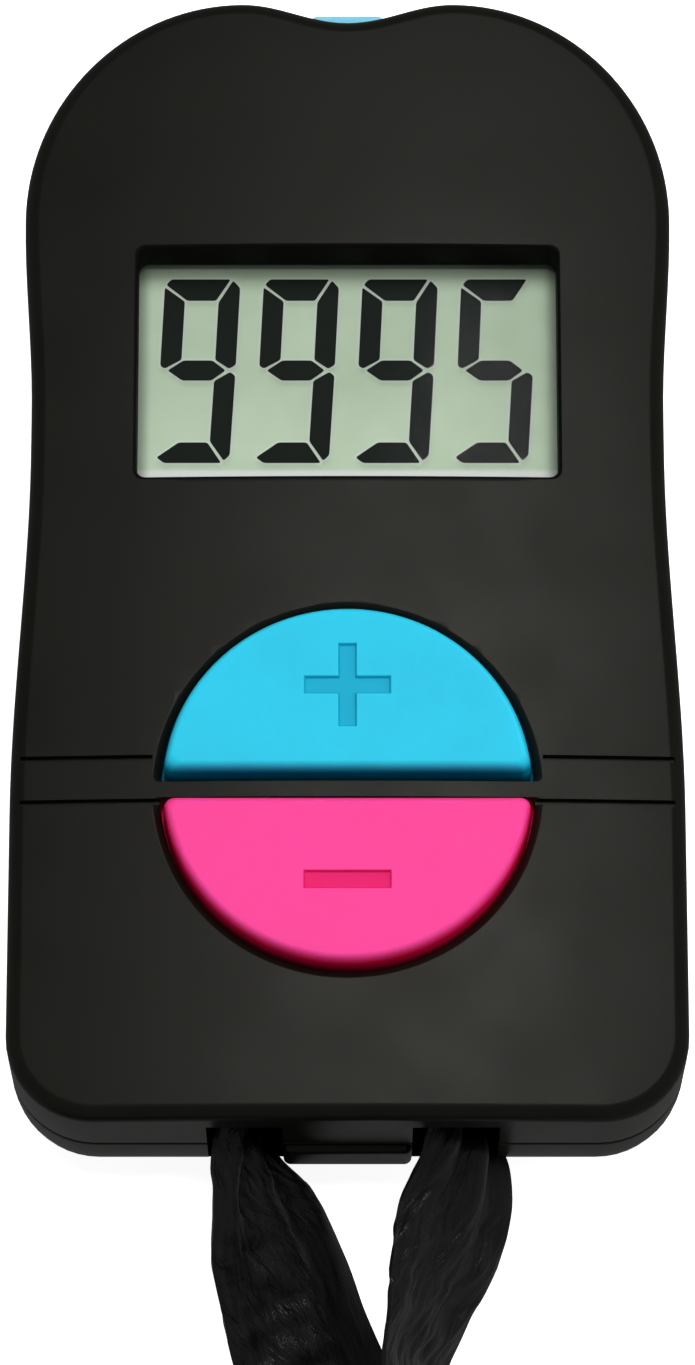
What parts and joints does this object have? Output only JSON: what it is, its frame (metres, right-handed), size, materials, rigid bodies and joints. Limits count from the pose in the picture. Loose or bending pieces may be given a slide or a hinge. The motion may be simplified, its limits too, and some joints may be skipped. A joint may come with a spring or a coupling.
{
  "type": "hand tally counter",
  "caption": "Electronic hand tally counter with a display window, add and subtract half-moon keys, an end reset key and a neck ribbon.",
  "frame": {"origin": "under the middle of the case, on the flat back it rests on", "axes": "+Z out of the front face, +Y along the length towards the reset key, +X to the right as the display is read"},
  "size_m": [0.0969, 0.1902, 0.0186],
  "materials": {
    "case_abs": "fine matt mould texture",
    "plus_key": "satin",
    "minus_key": "satin",
    "reset_key": "satin",
    "clear_lens": "polished clear acrylic",
    "lcd_glass": "polished",
    "polarizer": "grey-green film",
    "reflector": "diffuse silver film",
    "steel": "zinc plated",
    "board": "solder mask",
    "epoxy": "potting resin",
    "ceramic_chip": "ceramic",
    "silicone": "matt",
    "carbon": "matt",
    "cell_steel": "nickel plated",
    "contact_metal": "nickel plated spring steel",
    "satin_ribbon": "satin weave"
  },
  "bodies": {
    "root": {"front_shell": "case_abs", "rear_cover": "case_abs", "battery_door": "case_abs", "battery_door_screw": "steel", "casing_screw_1": "steel", "casing_screw_2": "steel", "casing_screw_3": "steel", "casing_screw_4": "steel", "board_screw_1": "steel", "board_screw_2": "steel", "board_screw_3": "steel", "board_screw_4": "steel", "lcd_window": "clear_lens", "lcd_front_polarizer": "polarizer", "lcd_front_glass": "lcd_glass", "lcd_rear_glass": "lcd_glass", "lcd_reflector": "reflector", "lcd_frame": "case_abs", "zebra_strip": "silicone", "main_board": "board", "chip_blob": "epoxy", "capacitor_1": "ceramic_chip", "capacitor_2": "ceramic_chip", "resistor_1": "epoxy", "battery_cell": "cell_steel", "battery_contact_positive": "contact_metal", "battery_contact_negative": "contact_metal", "keypad_mat": "silicone", "plus_dome": "silicone", "minus_dome": "silicone", "reset_switch_body": "epoxy", "lanyard_ribbon": "satin_ribbon", "lanyard_coil": "satin_ribbon"},
    "plus_button": {"plus_key": "plus_key", "plus_contact_pill": "carbon"},
    "minus_button": {"minus_key": "minus_key", "minus_contact_pill": "carbon"},
    "reset_button": {"reset_key": "reset_key", "reset_switch_plunger": "case_abs"}
  },
  "joints": [
    {"name": "plus_press", "type": "slide", "parent": "root", "child": "plus_button", "axis": [0, 0, -1], "range_m": [0, 0.0012], "stiffness_N_per_m": 600, "springref_m": -0.0005, "deforming": ["plus_dome"]},
    {"name": "minus_press", "type": "slide", "parent": "root", "child": "minus_button", "axis": [0, 0, -1], "range_m": [0, 0.0012], "stiffness_N_per_m": 600, "springref_m": -0.0005, "deforming": ["minus_dome"]},
    {"name": "reset_press", "type": "slide", "parent": "root", "child": "reset_button", "axis": [0, -1, 0], "range_m": [0, 0.0005], "stiffness_N_per_m": 1500, "springref_m": -0.0003}
  ]
}
